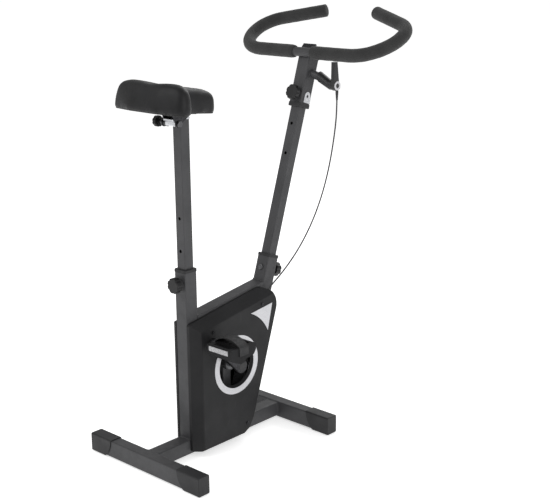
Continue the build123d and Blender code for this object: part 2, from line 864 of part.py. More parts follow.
# ---------------------------------------------------------------- seat
with BuildPart() as seat_post:
    seat_foot = Plane(origin=(post_x, 0, seat_post_bottom))
    add(square_tube(seat_foot, inner_size, seat_post_top - seat_post_bottom))
    # One hole below the pin and two above it.
    for step in (-1, 0, 1, 2):
        hole_z = seat_pin_z + step * hole_pitch
        with BuildSketch(facing((post_x, 0, hole_z), (-1, 0, 0))):
            Circle(pin_radius + 0.5)
        extrude(amount=inner_size, mode=Mode.SUBTRACT)
save("seat_post", seat_post.part)

with BuildPart() as seat_post_guide:
    guide_size = outer_size - 2 * wall - 2 * slide_gap
    with BuildSketch(Plane(origin=(post_x, 0, seat_post_bottom - 4))):
        RectangleRounded(guide_size, guide_size, 1.6)
    extrude(amount=24)
    with BuildSketch(Plane(origin=(post_x, 0, seat_post_bottom))):
        RectangleRounded(inner_size, inner_size, tube_corner)
    extrude(amount=20, mode=Mode.SUBTRACT)
save("seat_post_guide", seat_post_guide.part)

clamp_half = 17.0
bolt_radius = 4.0
with BuildPart() as seat_clamp:
    with BuildSketch(Plane(origin=(post_x - 14, 0, seat_post_top))):
        RectangleRounded(60, 2 * clamp_half, 4)
    extrude(amount=4)
    clamp_low = seat_bolt_z - bolt_radius - 2.5
    with BuildSketch(right_side(-clamp_half, seat_bolt_x, 0)):
        with Locations((0, (clamp_low + seat_post_top) / 2)):
            RectangleRounded(20, seat_post_top - clamp_low, 4)
    extrude(amount=2 * clamp_half)
    with BuildSketch(right_side(-clamp_half, seat_bolt_x, seat_bolt_z)):
        Circle(bolt_radius + 0.1)
    extrude(amount=2 * clamp_half, mode=Mode.SUBTRACT)
    with BuildSketch(Plane(origin=(post_x, 0, clamp_low))):
        Rectangle(inner_size, inner_size)
    extrude(amount=seat_post_top - clamp_low, mode=Mode.SUBTRACT)
save("seat_clamp", seat_clamp.part)


seat_half = [(-134, 45), (-115, 134), (-75, 126), (-37, 53), (102, 40)]
seat_half_radii = [70, 24, 28, 50, 34]


def seat_outline(inset):
    """Saddle plan on the seat plane: two wide rear lobes and a nose.  inset trims its edge."""
    corners = [(x, -y) for x, y in seat_half] + seat_half[::-1]
    radii = seat_half_radii + seat_half_radii[::-1]
    with BuildSketch() as plan:
        with BuildLine():
            FilletPolyline(*corners, radius=radii, close=True)
        make_face()
        if inset > 0:
            offset(amount=-inset, mode=Mode.REPLACE)
    return plan.sketch


seat_thick = 69.0
seat_nose_thick = 51.0
with BuildPart() as seat_cushion:
    with BuildSketch(seat_plane):
        add(seat_outline(0))
    extrude(amount=seat_thick, taper=8)
    seat_rear = seat_half[0][0]
    seat_nose = seat_half[-1][0]
    fall = (seat_thick - seat_nose_thick) / (seat_nose - seat_rear)
    crown = Plane(
        origin=seat_plane.from_local_coords((seat_rear, 0, seat_thick)),
        x_dir=seat_plane.y_dir,
        z_dir=(seat_plane.z_dir + seat_plane.x_dir * fall).normalized(),
    )
    split(bisect_by=crown, keep=Keep.BOTTOM)
    fillet(seat_cushion.faces().sort_by(Axis(crown.origin, crown.z_dir))[-1].edges(), radius=17)
save("seat_cushion", seat_cushion.part)

with BuildPart() as seat_pan:
    with BuildSketch(seat_plane.offset(-4)):
        add(seat_outline(9))
    extrude(amount=4)
    fillet(seat_pan.faces().sort_by(Axis(seat_plane.origin, seat_plane.z_dir))[0].edges(), radius=2)
save("seat_pan", seat_pan.part)

bracket_inner = clamp_half + 0.4
bracket_thick = 3.0
ear_radius = 9.5
with BuildPart() as seat_bracket:
    for side in (-1, 1):
        ear = Plane(
            origin=(seat_bolt_x, side * (bracket_inner + bracket_thick / 2), seat_bolt_z),
            x_dir=(1, 0, 0),
            z_dir=(0, -1, 0),
        )
        with BuildSketch(ear):
            Circle(ear_radius)
            with BuildLine():
                Polyline((-ear_radius, 0), (ear_radius, 0), (40, 18), (40, 45), (-26, 45), close=True)
            make_face()
            Circle(bolt_radius + 0.1, mode=Mode.SUBTRACT)
        extrude(amount=bracket_thick / 2, both=True)
    split(bisect_by=seat_plane.offset(-4), keep=Keep.BOTTOM)
    with BuildSketch(seat_plane.offset(-4)):
        with Locations((-2, 0)):
            RectangleRounded(76, 2 * (bracket_inner + bracket_thick), 3)
    extrude(amount=-2.5)
save("seat_bracket", seat_bracket.part)

knob_start = 47.0
knob_length = 15.0
thread_depth = 10.0
with BuildPart() as seat_knob:
    left_face = Plane(origin=(seat_bolt_x, knob_start, seat_bolt_z), x_dir=(1, 0, 0), z_dir=(0, 1, 0))
    add(knob(left_face, 14, knob_length, 8))
    with BuildSketch(left_face):
        Circle(bolt_radius)
    extrude(amount=thread_depth, mode=Mode.SUBTRACT)
save("seat_knob", seat_knob.part)

with BuildPart() as seat_bolt:
    head_y = bracket_inner + bracket_thick + 0.4
    shank = right_side(-knob_start - thread_depth, seat_bolt_x, seat_bolt_z)
    with BuildSketch(shank):
        Circle(bolt_radius)
    extrude(amount=knob_start + thread_depth + head_y)
    with BuildSketch(right_side(head_y, seat_bolt_x, seat_bolt_z)):
        RegularPolygon(8, 6)
    extrude(amount=5.5)
    with BuildSketch(right_side(-head_y - 12, seat_bolt_x, seat_bolt_z)):
        Circle(11)
    extrude(amount=2)
    with BuildSketch(right_side(-head_y - 9.5, seat_bolt_x, seat_bolt_z)):
        RegularPolygon(8, 6)
    extrude(amount=7)
save("seat_bolt", seat_bolt.part)

pin_reach = boss_height + pull_gap + side_y - inner_size / 2 - 0.5
with BuildPart() as seat_height_knob:
    outward = facing((post_x - side_y - boss_height - pull_gap, 0, seat_pin_z), (-1, 0, 0))
    add(knob(outward, knob_radius, 20, boss_radius))
    with BuildSketch(outward):
        Circle(pin_radius)
    extrude(amount=-pin_reach)
save("seat_height_knob", seat_height_knob.part)

# ---------------------------------------------------------------- stem and handlebar
with BuildPart() as stem:
    add(square_tube(front_axis.offset(stem_start), outer_size, stem_end - stem_start))
    rear_of_stem = facing(on_front(-side_y, stem_pin_s), rear_of_front)
    with BuildSketch(rear_of_stem):
        Circle(boss_radius)
    extrude(amount=boss_height)
    with BuildSketch(rear_of_stem.offset(boss_height)):
        Circle(pin_radius + 0.1)
    extrude(amount=-(boss_height + wall + 1), mode=Mode.SUBTRACT)
save("stem", stem.part)

with BuildPart() as stem_collar:
    stem_mouth = Plane(origin=on_front(0, stem_start), x_dir=forward_of_front, z_dir=-front_axis.z_dir)
    add(collar(stem_mouth, 3, 24, tube_end=8))
save("stem_collar", stem_collar.part)

with BuildPart() as stem_knob:
    outward = facing(on_front(-side_y - boss_height - pull_gap, stem_pin_s), rear_of_front)
    add(knob(outward, knob_radius, 16, boss_radius))
    with BuildSketch(outward):
        Circle(pin_radius)
    extrude(amount=-pin_reach)
save("stem_knob", stem_knob.part)

with BuildPart() as front_knob:
    outward = bolt_plane.offset(side_y + 1)
    add(knob(outward, knob_radius, 24, 12))
    with BuildSketch(outward):
        Circle(pin_radius + bearing_gap)
    extrude(amount=bolt_reach - 0.5, mode=Mode.SUBTRACT)
save("front_knob", front_knob.part)

across_bar = front_axis.to_local_coords(Vector(bar_x, 0, bar_z)).X
bracket_half = 22.0
with BuildPart() as handlebar_bracket:
    side_profile = Plane(
        origin=front_axis.from_local_coords((0, bracket_half, 0)),
        x_dir=front_axis.x_dir,
        z_dir=(0, -1, 0),
    )
    front_of_bar = across_bar + bar_radius + 0.1
    with BuildSketch(side_profile):
        with BuildLine():
            Polyline(
                (front_of_bar, stem_end),
                (front_of_bar, stem_end + 27),
                (front_of_bar + 6, stem_end + 39),
                (front_of_bar + 10.5, stem_end + 37),
                (front_of_bar + 4.5, stem_end + 25),
                (front_of_bar + 4.5, stem_end + 4),
                (side_y - 2, stem_end + 4),
                (side_y - 2, stem_end),
                close=True,
            )
        make_face()
    extrude(amount=2 * bracket_half)
save("handlebar_bracket", handlebar_bracket.part)

with BuildPart() as bracket_bolts:
    for left in (-10, 10):
        top_of_bracket = Plane(origin=on_front(5, stem_end + 4, left), z_dir=front_axis.z_dir)
        with BuildSketch(top_of_bracket):
            RegularPolygon(6.5, 6)
        extrude(amount=4.5)
save("bracket_bolts", bracket_bolts.part)


tip_forward = 74.0  # from the handlebar's outer corner to its end, in its own plane
tip_inward = 166.0
grip_end = 4.0


def bar_path(start, extra):
    """Left half of the handlebar's centre line, in its own plane, from start to the end plus extra."""
    stretch = 1 + extra / (tip_forward**2 + tip_inward**2) ** 0.5
    end = (bar_reach + tip_forward * stretch, bar_half - tip_inward * stretch)
    with BuildLine(bar_plane) as line:
        FilletPolyline((0, start), (0, bar_half), (bar_reach, bar_half), end, radius=[100, 74])
    return line.wire()


def along_path(path, outer, inner=0.0):
    """Round bar or tube swept along a path."""
    with BuildPart() as rod:
        with BuildSketch(Plane(origin=path @ 0, z_dir=path % 0)):
            Circle(outer)
            if inner > 0:
                Circle(inner, mode=Mode.SUBTRACT)
        sweep(path=path)
    return rod.part


with BuildPart() as handlebar:
    left_half = along_path(bar_path(0, 0), bar_radius, bar_radius - 1.6)
    add(left_half)
    mirror(left_half, about=Plane.XZ)
save("handlebar", handlebar.part)

with BuildPart() as grips:
    add(along_path(bar_path(grip_start, grip_end), grip_radius))
    add(along_path(bar_path(grip_start, 0), bar_radius + 0.02), mode=Mode.SUBTRACT)
    mirror(about=Plane.XZ)
save("grips", grips.part)

with BuildPart() as stem_tab:
    tab_hole = on_front(3, stem_pin_s - 3, -side_y)
    right_face = Plane(origin=tab_hole, x_dir=forward_of_front, z_dir=(0, -1, 0))
    with BuildSketch(right_face):
        SlotOverall(24, 22, rotation=90)
        with Locations((2, -9)):
            Rectangle(26, 18)
        Circle(4, mode=Mode.SUBTRACT)
    extrude(amount=1.4)
save("stem_tab", stem_tab.part)

# ---------------------------------------------------------------- tension lever and its cable
stub_root = on_front(4, 960, -side_y)
stub_end = Vector(stub_root.X, -58, stub_root.Z - 9)
stub_radius = 11.0
lever_face = 96.0  # inner face of the lever, on the rider's right
lever_gap = 0.5
lever_thick = 11.0
lever_pin = 11.0
pivot_boss = 13.5
horn_start = 50.0
horn_end = 84.0
barrel_length = 14.0
cable_exit_x = lever_x + 22.4
cable_exit_y = 88.0

with BuildPart() as lever_mount:
    stub_run = stub_end - stub_root
    stub_plane = Plane(origin=stub_root, x_dir=(1, 0, 0), z_dir=stub_run)
    with BuildSketch(stub_plane.offset(-3)):
        Circle(stub_radius)
        Circle(stub_radius - wall, mode=Mode.SUBTRACT)
    extrude(amount=stub_run.length + 3)
    split(bisect_by=Plane(origin=(0, -side_y, 0), z_dir=(0, -1, 0)), keep=Keep.TOP)
save("lever_mount", lever_mount.part)

with BuildPart() as lever_housing:
    # A horn that grips the stub and drops to the lever's pivot.
    with BuildSketch(right_side(horn_start, stub_end.X, stub_end.Z + 2.5)):
        Circle(stub_radius + 4)
    with BuildSketch(right_side(horn_end, lever_x, lever_z + 1)):
        Circle(pivot_boss)
    loft()
    with BuildSketch(right_side(horn_end)):
        with Locations((lever_x, lever_z + 1)):
            Circle(pivot_boss)
        with Locations((lever_x + 21, lever_z - 7)):
            Circle(6)
        make_hull()
    extrude(amount=lever_face - horn_end)
    with BuildSketch(stub_plane):
        Circle(stub_radius)
    extrude(amount=stub_run.length, mode=Mode.SUBTRACT)
    # Barrel that the cable's casing pushes into.
    barrel = Plane(origin=(cable_exit_x, -cable_exit_y, lever_z - 9), z_dir=(0, 0, -1))
    with BuildSketch(barrel):
        Circle(4)
    extrude(amount=barrel_length)
    with BuildSketch(right_side(lever_face, lever_x, lever_z)):
        Circle(pin_radius + 0.1)
    extrude(amount=-lever_pin - 0.5, mode=Mode.SUBTRACT)
save("lever_housing", lever_housing.part)

lever_plane = right_side(lever_face + lever_gap)
with BuildPart() as tension_lever:
    with BuildSketch(lever_plane):
        with Locations((lever_x, lever_z)):
            Circle(14)
        with BuildLine():
            Polyline(
                (lever_x - 13, lever_z + 4),
                (lever_x - 11.5, lever_z + 63),
                (lever_x + 2.5, lever_z + 63),
                (lever_x + 9, lever_z + 10),
                close=True,
            )
        make_face()
    extrude(amount=lever_thick)
    fillet(tension_lever.faces().sort_by(Axis.Y)[0].edges(), radius=2)
    with BuildSketch(right_side(lever_face + lever_gap, lever_x, lever_z)):
        Circle(pin_radius)
    extrude(amount=-lever_pin)
save("tension_lever", tension_lever.part)

with BuildPart() as lever_ring:
    with BuildSketch(right_side(lever_face + lever_gap + lever_thick, lever_x, lever_z)):
        Circle(12)
        Circle(6.5, mode=Mode.SUBTRACT)
    extrude(amount=1.5)
save("lever_ring", lever_ring.part)

cable_radius = 2.0
cable_route = [
    (cable_exit_x, -cable_exit_y, lever_z - 9 - barrel_length),
    (cable_exit_x, -cable_exit_y, 863.0),
    (240.3, -82.8, 813.1),
    (236.6, -77.4, 764.4),
    (229.9, -72.3, 716.1),
    (219.7, -67.1, 668.4),
    (205.5, -61.7, 621.8),
    (186.8, -56.2, 576.8),
    (163.4, -50.6, 534.1),
    (135.3, -45.0, 494.4),
    (102.6, -39.6, 458.3),
    cable_outside,
    cable_inside,
    (-2.0, -29.5, 360.0),
    (-20.0, -30.0, 316.0),
    (-33.0, -30.5, 270.0),
]


def tube_along(points, radius):
    """Cable through a list of points: straight runs joined by the largest arcs that fit."""
    bends = []
    for before, here, after in zip(points, points[1:], points[2:]):
        first = Vector(*here) - Vector(*before)
        second = Vector(*after) - Vector(*here)
        half_turn = radians(first.get_angle(second) / 2)
        bends.append(0.45 * min(first.length, second.length) / tan(half_turn))
    print("cable bend radii:", [round(bend) for bend in bends])
    with BuildLine() as line:
        FilletPolyline(*points, radius=bends)
    path = line.wire()
    solid = along_path(path, radius)
    print("cable length:", round(path.length), "volume ratio:", solid.volume / (pi * radius**2 * path.length))
    return solid


casing_end = Vector(*cable_route[-1])
casing_run = (casing_end - Vector(*cable_route[-2])).normalized()
ferrule_length = 9.0
casing_seat = 6.0
with BuildPart() as tension_cable:
    add(tube_along(cable_route, cable_radius))
    # The bare inner wire runs on from the stop to the brake arm's hook.
    hook_top = Vector(hook_x, -brake_y - brake_plate / 2, hook_z + 7)
    wire_start = casing_end + casing_run * (ferrule_length - casing_seat)
    wire_run = hook_top - wire_start
    with BuildSketch(Plane(origin=wire_start, z_dir=wire_run)):
        Circle(0.8)
    extrude(amount=wire_run.length)
save("tension_cable", tension_cable.part)

with BuildPart() as cable_stop:
    # Ferrule that holds the casing's end, on a lug welded to the down tube.
    stop_plane = Plane(origin=casing_end - casing_run * casing_seat, z_dir=casing_run)
    with BuildSketch(stop_plane):
        Circle(5.5)
    extrude(amount=ferrule_length)
    with BuildSketch(right_side(side_y, casing_end.X, casing_end.Z)):
        Rectangle(9, 8)
    extrude(amount=-casing_end.Y - side_y - 3)
    with BuildSketch(stop_plane):
        Circle(cable_radius)
    extrude(amount=casing_seat, mode=Mode.SUBTRACT)
    with BuildSketch(stop_plane):
        Circle(1.2)
    extrude(amount=ferrule_length, mode=Mode.SUBTRACT)
save("cable_stop", cable_stop.part)
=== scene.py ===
import json
from math import cos, exp, radians, sin, tan, tau

import bpy
from mathutils import Matrix, Vector, noise


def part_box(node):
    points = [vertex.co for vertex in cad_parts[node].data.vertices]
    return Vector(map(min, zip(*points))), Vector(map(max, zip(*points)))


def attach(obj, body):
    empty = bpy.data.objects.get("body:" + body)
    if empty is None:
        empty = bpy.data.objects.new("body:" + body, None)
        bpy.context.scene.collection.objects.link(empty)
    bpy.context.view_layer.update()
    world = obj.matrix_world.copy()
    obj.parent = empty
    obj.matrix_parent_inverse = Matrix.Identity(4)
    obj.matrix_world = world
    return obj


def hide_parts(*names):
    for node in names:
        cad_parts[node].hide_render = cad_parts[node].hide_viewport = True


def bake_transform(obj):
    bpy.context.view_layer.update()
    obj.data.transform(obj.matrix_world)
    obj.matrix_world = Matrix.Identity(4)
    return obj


# Exercise bike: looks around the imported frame, in metres.  +X is forward, +Y the rider's left, +Z up.

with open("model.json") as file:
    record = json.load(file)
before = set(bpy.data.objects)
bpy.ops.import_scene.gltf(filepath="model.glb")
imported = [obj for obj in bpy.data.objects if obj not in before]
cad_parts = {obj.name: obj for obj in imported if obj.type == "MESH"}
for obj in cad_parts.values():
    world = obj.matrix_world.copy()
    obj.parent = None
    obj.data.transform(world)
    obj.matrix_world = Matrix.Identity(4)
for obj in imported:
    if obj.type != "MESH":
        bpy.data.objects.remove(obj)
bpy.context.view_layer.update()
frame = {"nodes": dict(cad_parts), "record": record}
nodes = frame["nodes"]
scene = bpy.context.scene
scene.view_settings.view_transform = "Standard"

# ---------------------------------------------------------------- driving values
tube_half = 0.020  # half the side of a frame tube
front_lean = radians(18.0)  # lean of the down tube and the stem
top_tube_slope = radians(8.4)
saddle_lean = radians(6.6)


# ---------------------------------------------------------------- camera, light and floor
def make_camera():
    """Camera behind the bike on the rider's right, at about head height."""
    place = Vector((-2.1676, -2.0934, 1.3352))
    yaw = radians(42.56)
    down = radians(15.58)
    roll = radians(-0.46)
    forward = Vector((cos(yaw) * cos(down), sin(yaw) * cos(down), -sin(down)))
    level_right = Vector((sin(yaw), -cos(yaw), 0))
    level_up = level_right.cross(forward)
    right = level_right * cos(roll) + level_up * sin(roll)
    up = right.cross(forward)
    data = bpy.data.cameras.new("camera")
    data.sensor_width = 36.0
    data.lens = 75.86
    data.shift_x = -0.0127
    data.shift_y = 0.0062
    camera = bpy.data.objects.new("camera", data)
    axes = Matrix((right, up, -forward)).transposed().to_4x4()
    camera.matrix_world = Matrix.Translation(place) @ axes
    scene.collection.objects.link(camera)
    scene.camera = camera


def soft_box(name, place, aim, size, power):
    """Square studio light that points at a spot."""
    data = bpy.data.lights.new(name, "AREA")
    data.size = size
    data.energy = power
    light = bpy.data.objects.new(name, data)
    light.location = place
    direction = Vector(aim) - Vector(place)
    light.rotation_euler = direction.to_track_quat("-Z", "Y").to_euler()
    scene.collection.objects.link(light)


def make_studio():
    """Plain pale floor under an even sky, with a large light from behind and above."""
    world = bpy.data.worlds.new("studio")
    world.use_nodes = True
    sky = world.node_tree.nodes["Background"]
    sky.inputs["Color"].default_value = (1.0, 1.0, 1.0, 1.0)
    sky.inputs["Strength"].default_value = 0.50
    scene.world = world
    middle = (-0.05, 0.0, 0.55)
    soft_box("key_light", place=(-3.2, 1.4, 3.4), aim=middle, size=2.2, power=52.0)
    soft_box("side_light", place=(-0.6, -3.6, 2.2), aim=middle, size=2.0, power=40.0)
    soft_box("front_light", place=(3.2, 1.0, 2.6), aim=middle, size=2.4, power=50.0)

    half = 40.0
    mesh = bpy.data.meshes.new("floor")
    corners = [(-half, -half, 0), (half, -half, 0), (half, half, 0), (-half, half, 0)]
    mesh.from_pydata(corners, [], [(0, 1, 2, 3)])
    floor = bpy.data.objects.new("floor", mesh)
    scene.collection.objects.link(floor)
    paper = Finish("studio_floor")
    paper.set("Roughness", 0.9)
    paper.set("Specular IOR Level", 0.1)
    paper.set("Emission Color", (1.0, 1.0, 1.0, 1.0))
    paper.set("Emission Strength", 0.58)
    paper.colour(paper.noise(3.0), (0.88, 0.88, 0.88), (0.90, 0.90, 0.90))
    mesh.materials.append(paper.material)


# ---------------------------------------------------------------- procedural materials
class Finish:
    """A node material on the object's own coordinates, built up by short calls."""

    def __init__(self, name):
        self.material = bpy.data.materials.new(name)
        self.material.use_nodes = True
        self.tree = self.material.node_tree
        self.shader = self.tree.nodes["Principled BSDF"]
        self.place = self.tree.nodes.new("ShaderNodeTexCoord").outputs["Object"]
        self.normal = None

    def set(self, socket, value):
        self.shader.inputs[socket].default_value = value

    def link(self, source, target):
        self.tree.links.new(source, target)

    def stretched(self, scale):
        """Coordinates stretched along the axes, for brushed, woven or turned textures."""
        mapping = self.tree.nodes.new("ShaderNodeMapping")
        mapping.inputs["Scale"].default_value = scale
        self.link(self.place, mapping.inputs["Vector"])
        return mapping.outputs["Vector"]

    def noise(self, scale, detail=3.0, roughness=0.5, place=None):
        node = self.tree.nodes.new("ShaderNodeTexNoise")
        node.inputs["Scale"].default_value = scale
        node.inputs["Detail"].default_value = detail
        node.inputs["Roughness"].default_value = roughness
        self.link(place or self.place, node.inputs["Vector"])
        return node.outputs["Fac"]

    def cells(self, scale, feature="F1", output="Distance"):
        node = self.tree.nodes.new("ShaderNodeTexVoronoi")
        node.feature = feature
        node.inputs["Scale"].default_value = scale
        self.link(self.place, node.inputs["Vector"])
        return node.outputs[output]

    def waves(self, scale, axis):
        node = self.tree.nodes.new("ShaderNodeTexWave")
        node.bands_direction = axis
        node.inputs["Scale"].default_value = scale
        node.inputs["Distortion"].default_value = 0.0
        self.link(self.place, node.inputs["Vector"])
        return node.outputs["Fac"]

    def ramp(self, source, low, high, start=0.35, end=0.65):
        """A colour between low and high as the source goes from start to end."""
        node = self.tree.nodes.new("ShaderNodeValToRGB")
        first, last = node.color_ramp.elements
        first.position = start
        first.color = (*low, 1.0)
        last.position = end
        last.color = (*high, 1.0)
        self.link(source, node.inputs["Fac"])
        return node.outputs["Color"]

    def colour(self, source, low, high, start=0.35, end=0.65):
        self.link(self.ramp(source, low, high, start, end), self.shader.inputs["Base Color"])

    def blotches(self, under, source, tone, start, end):
        """Lays a tone over the colour so far where the source is high."""
        mix = self.tree.nodes.new("ShaderNodeMix")
        mix.data_type = "RGBA"
        mask = self.ramp(source, (0, 0, 0), (1, 1, 1), start, end)
        self.link(mask, mix.inputs["Factor"])
        self.link(under, mix.inputs["A"])
        mix.inputs["B"].default_value = (*tone, 1.0)
        self.link(mix.outputs["Result"], self.shader.inputs["Base Color"])
        return mix.outputs["Result"]

    def rough(self, source, low, high):
        """Roughness from low to high, over the part of its range that a noise really fills."""
        node = self.tree.nodes.new("ShaderNodeMapRange")
        node.inputs["From Min"].default_value = 0.3
        node.inputs["From Max"].default_value = 0.7
        node.inputs["To Min"].default_value = low
        node.inputs["To Max"].default_value = high
        self.link(source, node.inputs["Value"])
        self.link(node.outputs["Result"], self.shader.inputs["Roughness"])

    def bump(self, height, distance):
        """Adds relief of a height in metres over the relief so far."""
        node = self.tree.nodes.new("ShaderNodeBump")
        node.inputs["Strength"].default_value = 1.0
        node.inputs["Distance"].default_value = distance
        self.link(height, node.inputs["Height"])
        if self.normal is not None:
            self.link(self.normal, node.inputs["Normal"])
        self.normal = node.outputs["Normal"]
        self.link(self.normal, self.shader.inputs["Normal"])


def powder_coat():
    """Charcoal powder coat with orange peel, fine dark speckle and slightly uneven tone."""
    paint = Finish("frame_paint")
    tone = paint.ramp(paint.noise(14.0, 4.0), (0.043, 0.043, 0.0455), (0.055, 0.055, 0.058))
    paint.blotches(tone, paint.noise(1400.0, 2.0), (0.038, 0.038, 0.040), 0.56, 0.72)
    paint.rough(paint.noise(60.0, 5.0), 0.42, 0.58)
    paint.set("Specular IOR Level", 0.30)
    paint.set("Coat Weight", 0.05)
    paint.set("Coat Roughness", 0.25)
    paint.bump(paint.noise(420.0, 2.0), 0.00016)
    paint.bump(paint.noise(1500.0, 2.0), 0.00006)
    return paint.material


def moulded(name, low, high, rough_low, rough_high, grain, depth, gloss=0.35):
    """Moulded plastic: spark-eroded grain, flow marks and uneven sheen."""
    plastic = Finish(name)
    tone = plastic.ramp(plastic.noise(11.0, 4.0), low, high)
    scuff = tuple(1.5 * part + 0.006 for part in high)
    streaks = plastic.noise(70.0, 6.0, 0.7, plastic.stretched((1.0, 1.0, 0.25)))
    plastic.blotches(tone, streaks, scuff, 0.62, 0.82)
    plastic.rough(plastic.noise(26.0, 5.0), rough_low, rough_high)
    plastic.set("Specular IOR Level", gloss)
    plastic.bump(plastic.noise(grain, 3.0, 0.6), depth)
    plastic.bump(plastic.cells(grain * 0.6, "SMOOTH_F1"), depth * 0.6)
    return plastic.material


def silver_trim():
    """Silver lacquer on plastic, with fine metal flake."""
    lacquer = Finish("trim_silver")
    tone = lacquer.ramp(lacquer.noise(30.0, 4.0), (0.46, 0.46, 0.48), (0.53, 0.53, 0.55))
    lacquer.blotches(tone, lacquer.cells(1800.0), (0.63, 0.63, 0.65), 0.45, 0.75)
    lacquer.set("Metallic", 0.35)
    lacquer.rough(lacquer.noise(120.0, 4.0), 0.30, 0.44)
    lacquer.bump(lacquer.noise(900.0, 2.0), 0.00003)
    return lacquer.material


def plated(name, low, high, rough_low, rough_high):
    """Zinc-plated steel: soft spangle, drawing scratches and small dull spots."""
    metal = Finish(name)
    spangle = metal.cells(260.0, "F1", output="Color")
    dull = tuple(0.6 * part for part in low)
    tone = metal.ramp(spangle, low, high, 0.1, 0.9)
    metal.blotches(tone, metal.noise(180.0, 6.0, 0.7), dull, 0.60, 0.80)
    metal.set("Metallic", 1.0)
    scratches = metal.noise(500.0, 4.0, 0.6, metal.stretched((1.0, 0.08, 1.0)))
    metal.rough(scratches, rough_low, rough_high)
    metal.bump(scratches, 0.00004)
    return metal.material


def turned_steel():
    """Bright turned steel with fine tool rings round the crosswise axis."""
    metal = Finish("axle_steel")
    metal.colour(metal.noise(90.0, 5.0), (0.46, 0.46, 0.47), (0.60, 0.60, 0.61))
    metal.set("Metallic", 1.0)
    metal.rough(metal.noise(240.0, 4.0), 0.18, 0.34)
    metal.bump(metal.waves(900.0, "Y"), 0.00002)
    return metal.material


def cast_iron(low, high):
    """Cast flywheel under thin grey paint, with sand-cast pits."""
    iron = Finish("flywheel_iron")
    tone = iron.ramp(iron.noise(50.0, 6.0, 0.7), low, high)
    iron.blotches(tone, iron.noise(220.0, 4.0), (0.14, 0.12, 0.11), 0.62, 0.78)
    iron.set("Metallic", 0.75)
    iron.rough(iron.noise(130.0, 5.0), 0.42, 0.68)
    iron.bump(iron.noise(330.0, 5.0, 0.65), 0.00030)
    return iron.material


def belt_rubber():
    rubber = Finish("belt_rubber")
    rubber.colour(rubber.noise(80.0, 5.0), (0.012, 0.012, 0.012), (0.022, 0.022, 0.022))
    rubber.rough(rubber.noise(160.0, 4.0), 0.62, 0.82)
    rubber.set("Specular IOR Level", 0.3)
    rubber.bump(rubber.waves(160.0, "Y"), 0.00040)
    rubber.bump(rubber.noise(900.0, 3.0), 0.00008)
    return rubber.material


def brake_felt():
    felt = Finish("brake_felt")
    felt.colour(felt.noise(700.0, 6.0, 0.75), (0.045, 0.040, 0.036), (0.110, 0.098, 0.088))
    felt.rough(felt.noise(300.0, 4.0), 0.88, 0.98)
    felt.set("Sheen Weight", 0.4)
    felt.bump(felt.noise(1300.0, 6.0, 0.8), 0.00035)
    return felt.material


def strap_rubber():
    """Toe strap: soft rubber with a fine crosswise rib."""
    rubber = Finish("strap_rubber")
    tone = rubber.ramp(rubber.noise(40.0, 5.0), (0.014, 0.014, 0.015), (0.024, 0.024, 0.025))
    rubber.blotches(tone, rubber.noise(140.0, 6.0, 0.7), (0.040, 0.040, 0.041), 0.62, 0.80)
    rubber.rough(rubber.noise(90.0, 4.0), 0.50, 0.70)
    rubber.set("Specular IOR Level", 0.3)
    rubber.bump(rubber.waves(110.0, "X"), 0.00028)
    rubber.bump(rubber.noise(1200.0, 3.0), 0.00006)
    return rubber.material


def reflector():
    """Grey prismatic reflector: small pyramids under a clear face."""
    lens = Finish("reflector_strip")
    prisms_and_prism_shade = lens.cells(420.0)
    # Painted shade and reflection: the grey is darker in the prisms' hollows and lighter on their ridges,
    # following the prism relief.
    lens.colour(prisms_and_prism_shade, (0.24, 0.24, 0.25), (0.42, 0.42, 0.43), 0.2, 0.8)
    lens.rough(prisms_and_prism_shade, 0.16, 0.34)
    lens.set("Coat Weight", 0.6)
    lens.set("Coat Roughness", 0.08)
    lens.bump(prisms_and_prism_shade, 0.00040)
    return lens.material


def seat_vinyl():
    """Black vinyl: leather grain of two sizes, soft wrinkles and fine lighter flecks of painted sheen."""
    vinyl = Finish("seat_vinyl")
    tone = vinyl.ramp(vinyl.noise(16.0, 5.0), (0.0085, 0.0085, 0.009), (0.0135, 0.0135, 0.0145))
    grain = vinyl.cells(620.0, "DISTANCE_TO_EDGE")
    fine = vinyl.cells(1500.0, "DISTANCE_TO_EDGE")
    # Painted sheen: fine lighter flecks over the tone, standing in for polish.
    vinyl.blotches(tone, vinyl.noise(900.0, 3.0), (0.019, 0.019, 0.020), 0.60, 0.80)
    vinyl.rough(vinyl.noise(38.0, 5.0), 0.40, 0.54)
    vinyl.set("Specular IOR Level", 0.20)
    vinyl.set("Coat Weight", 0.04)
    vinyl.set("Coat Roughness", 0.30)
    vinyl.bump(vinyl.noise(24.0, 4.0), 0.00060)
    vinyl.bump(grain, 0.00030)
    vinyl.bump(fine, 0.00010)
    return vinyl.material


def grip_foam():
    """Closed-cell foam: a skin of tiny open bubbles, nearly without gloss."""
    foam = Finish("grip_foam")
    tone = foam.ramp(foam.noise(22.0, 5.0), (0.019, 0.019, 0.019), (0.028, 0.028, 0.028))
    pores_and_pore_shade = foam.cells(1300.0, "F1")
    # Painted shade: the foam is darker in its pores and lighter on the rims between them, following the
    # pore relief.
    foam.blotches(tone, pores_and_pore_shade, (0.042, 0.042, 0.042), 0.55, 0.90)
    foam.rough(foam.noise(300.0, 4.0), 0.78, 0.94)
    foam.set("Specular IOR Level", 0.25)
    foam.set("Sheen Weight", 0.10)
    foam.set("Sheen Roughness", 0.6)
    foam.bump(pores_and_pore_shade, 0.00035)
    foam.bump(foam.noise(160.0, 4.0), 0.00040)
    return foam.material


def cable_casing():
    casing = Finish("cable_casing")
    casing.colour(casing.noise(120.0, 4.0), (0.014, 0.014, 0.015), (0.024, 0.024, 0.025))
    casing.rough(casing.noise(200.0, 4.0), 0.34, 0.50)
    casing.bump(casing.waves(380.0, "Z"), 0.00005)
    return casing.material


